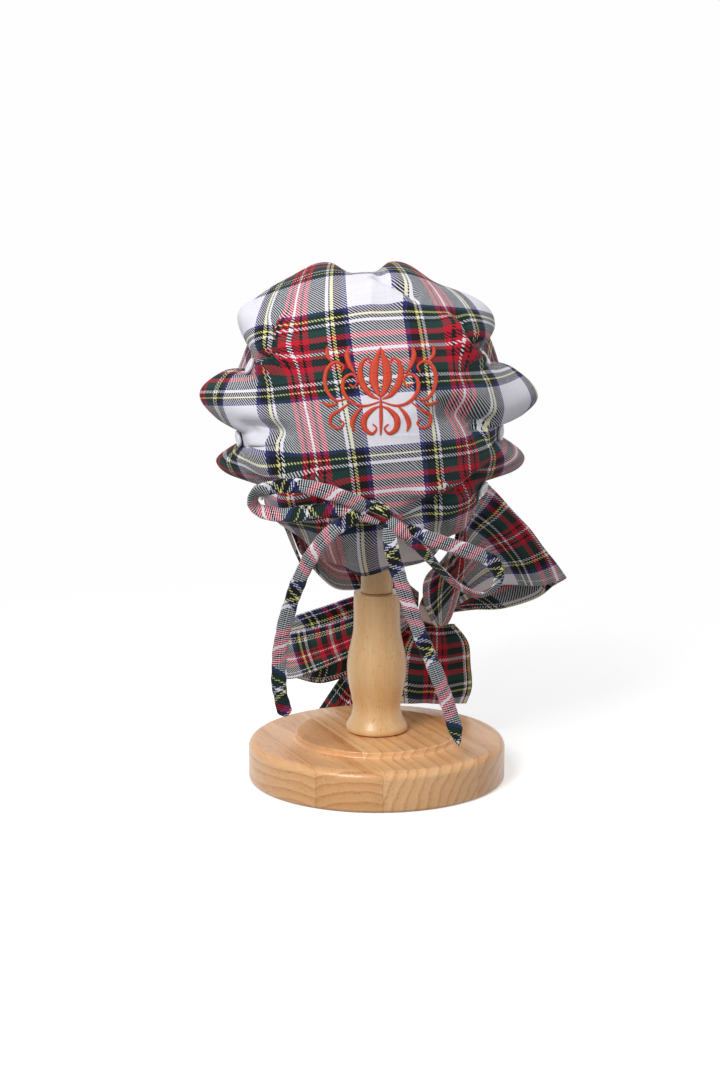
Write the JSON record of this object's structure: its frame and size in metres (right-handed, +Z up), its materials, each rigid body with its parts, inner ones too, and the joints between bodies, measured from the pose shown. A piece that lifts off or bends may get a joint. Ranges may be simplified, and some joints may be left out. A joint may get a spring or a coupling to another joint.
{
  "type": "bonnet on wooden stand",
  "caption": "A baby's tartan bonnet with a buttoned, petalled crown, a narrow bow at the nape and wide chin ties, on a turned wooden stand with a round base.",
  "frame": {"origin": "centre of the stand's base, on its underside", "axes": "+Z up, +Y the way the bonnet's face opening looks, so its embroidered back faces -Y, +X to the right as seen from the back"},
  "size_m": [0.2579, 0.1973, 0.3561],
  "materials": {
    "base_wood": "satin clear lacquer on glued staves",
    "post_wood": "satin clear lacquer on pale turned wood",
    "tartan_cotton": "matt cotton twill woven in a white, red, green and black tartan",
    "button_white": "glossy white"
  },
  "bodies": {
    "root": {"stand_base": "base_wood", "stand_post": "post_wood", "support_dowel": "post_wood", "crown": "tartan_cotton", "brim": "tartan_cotton", "nape_knot": "tartan_cotton", "nape_loop_left": "tartan_cotton", "nape_loop_right": "tartan_cotton", "nape_tail_left": "tartan_cotton", "nape_tail_right": "tartan_cotton", "chin_strap_left": "tartan_cotton", "chin_strap_right": "tartan_cotton", "chin_knot": "tartan_cotton", "chin_loop_left": "tartan_cotton", "chin_loop_right": "tartan_cotton", "chin_tail_left": "tartan_cotton", "chin_tail_right": "tartan_cotton", "button_1": "button_white", "button_2": "button_white", "button_3": "button_white", "button_4": "button_white", "button_5": "button_white", "button_6": "button_white", "button_7": "button_white"}
  },
  "joints": []
}
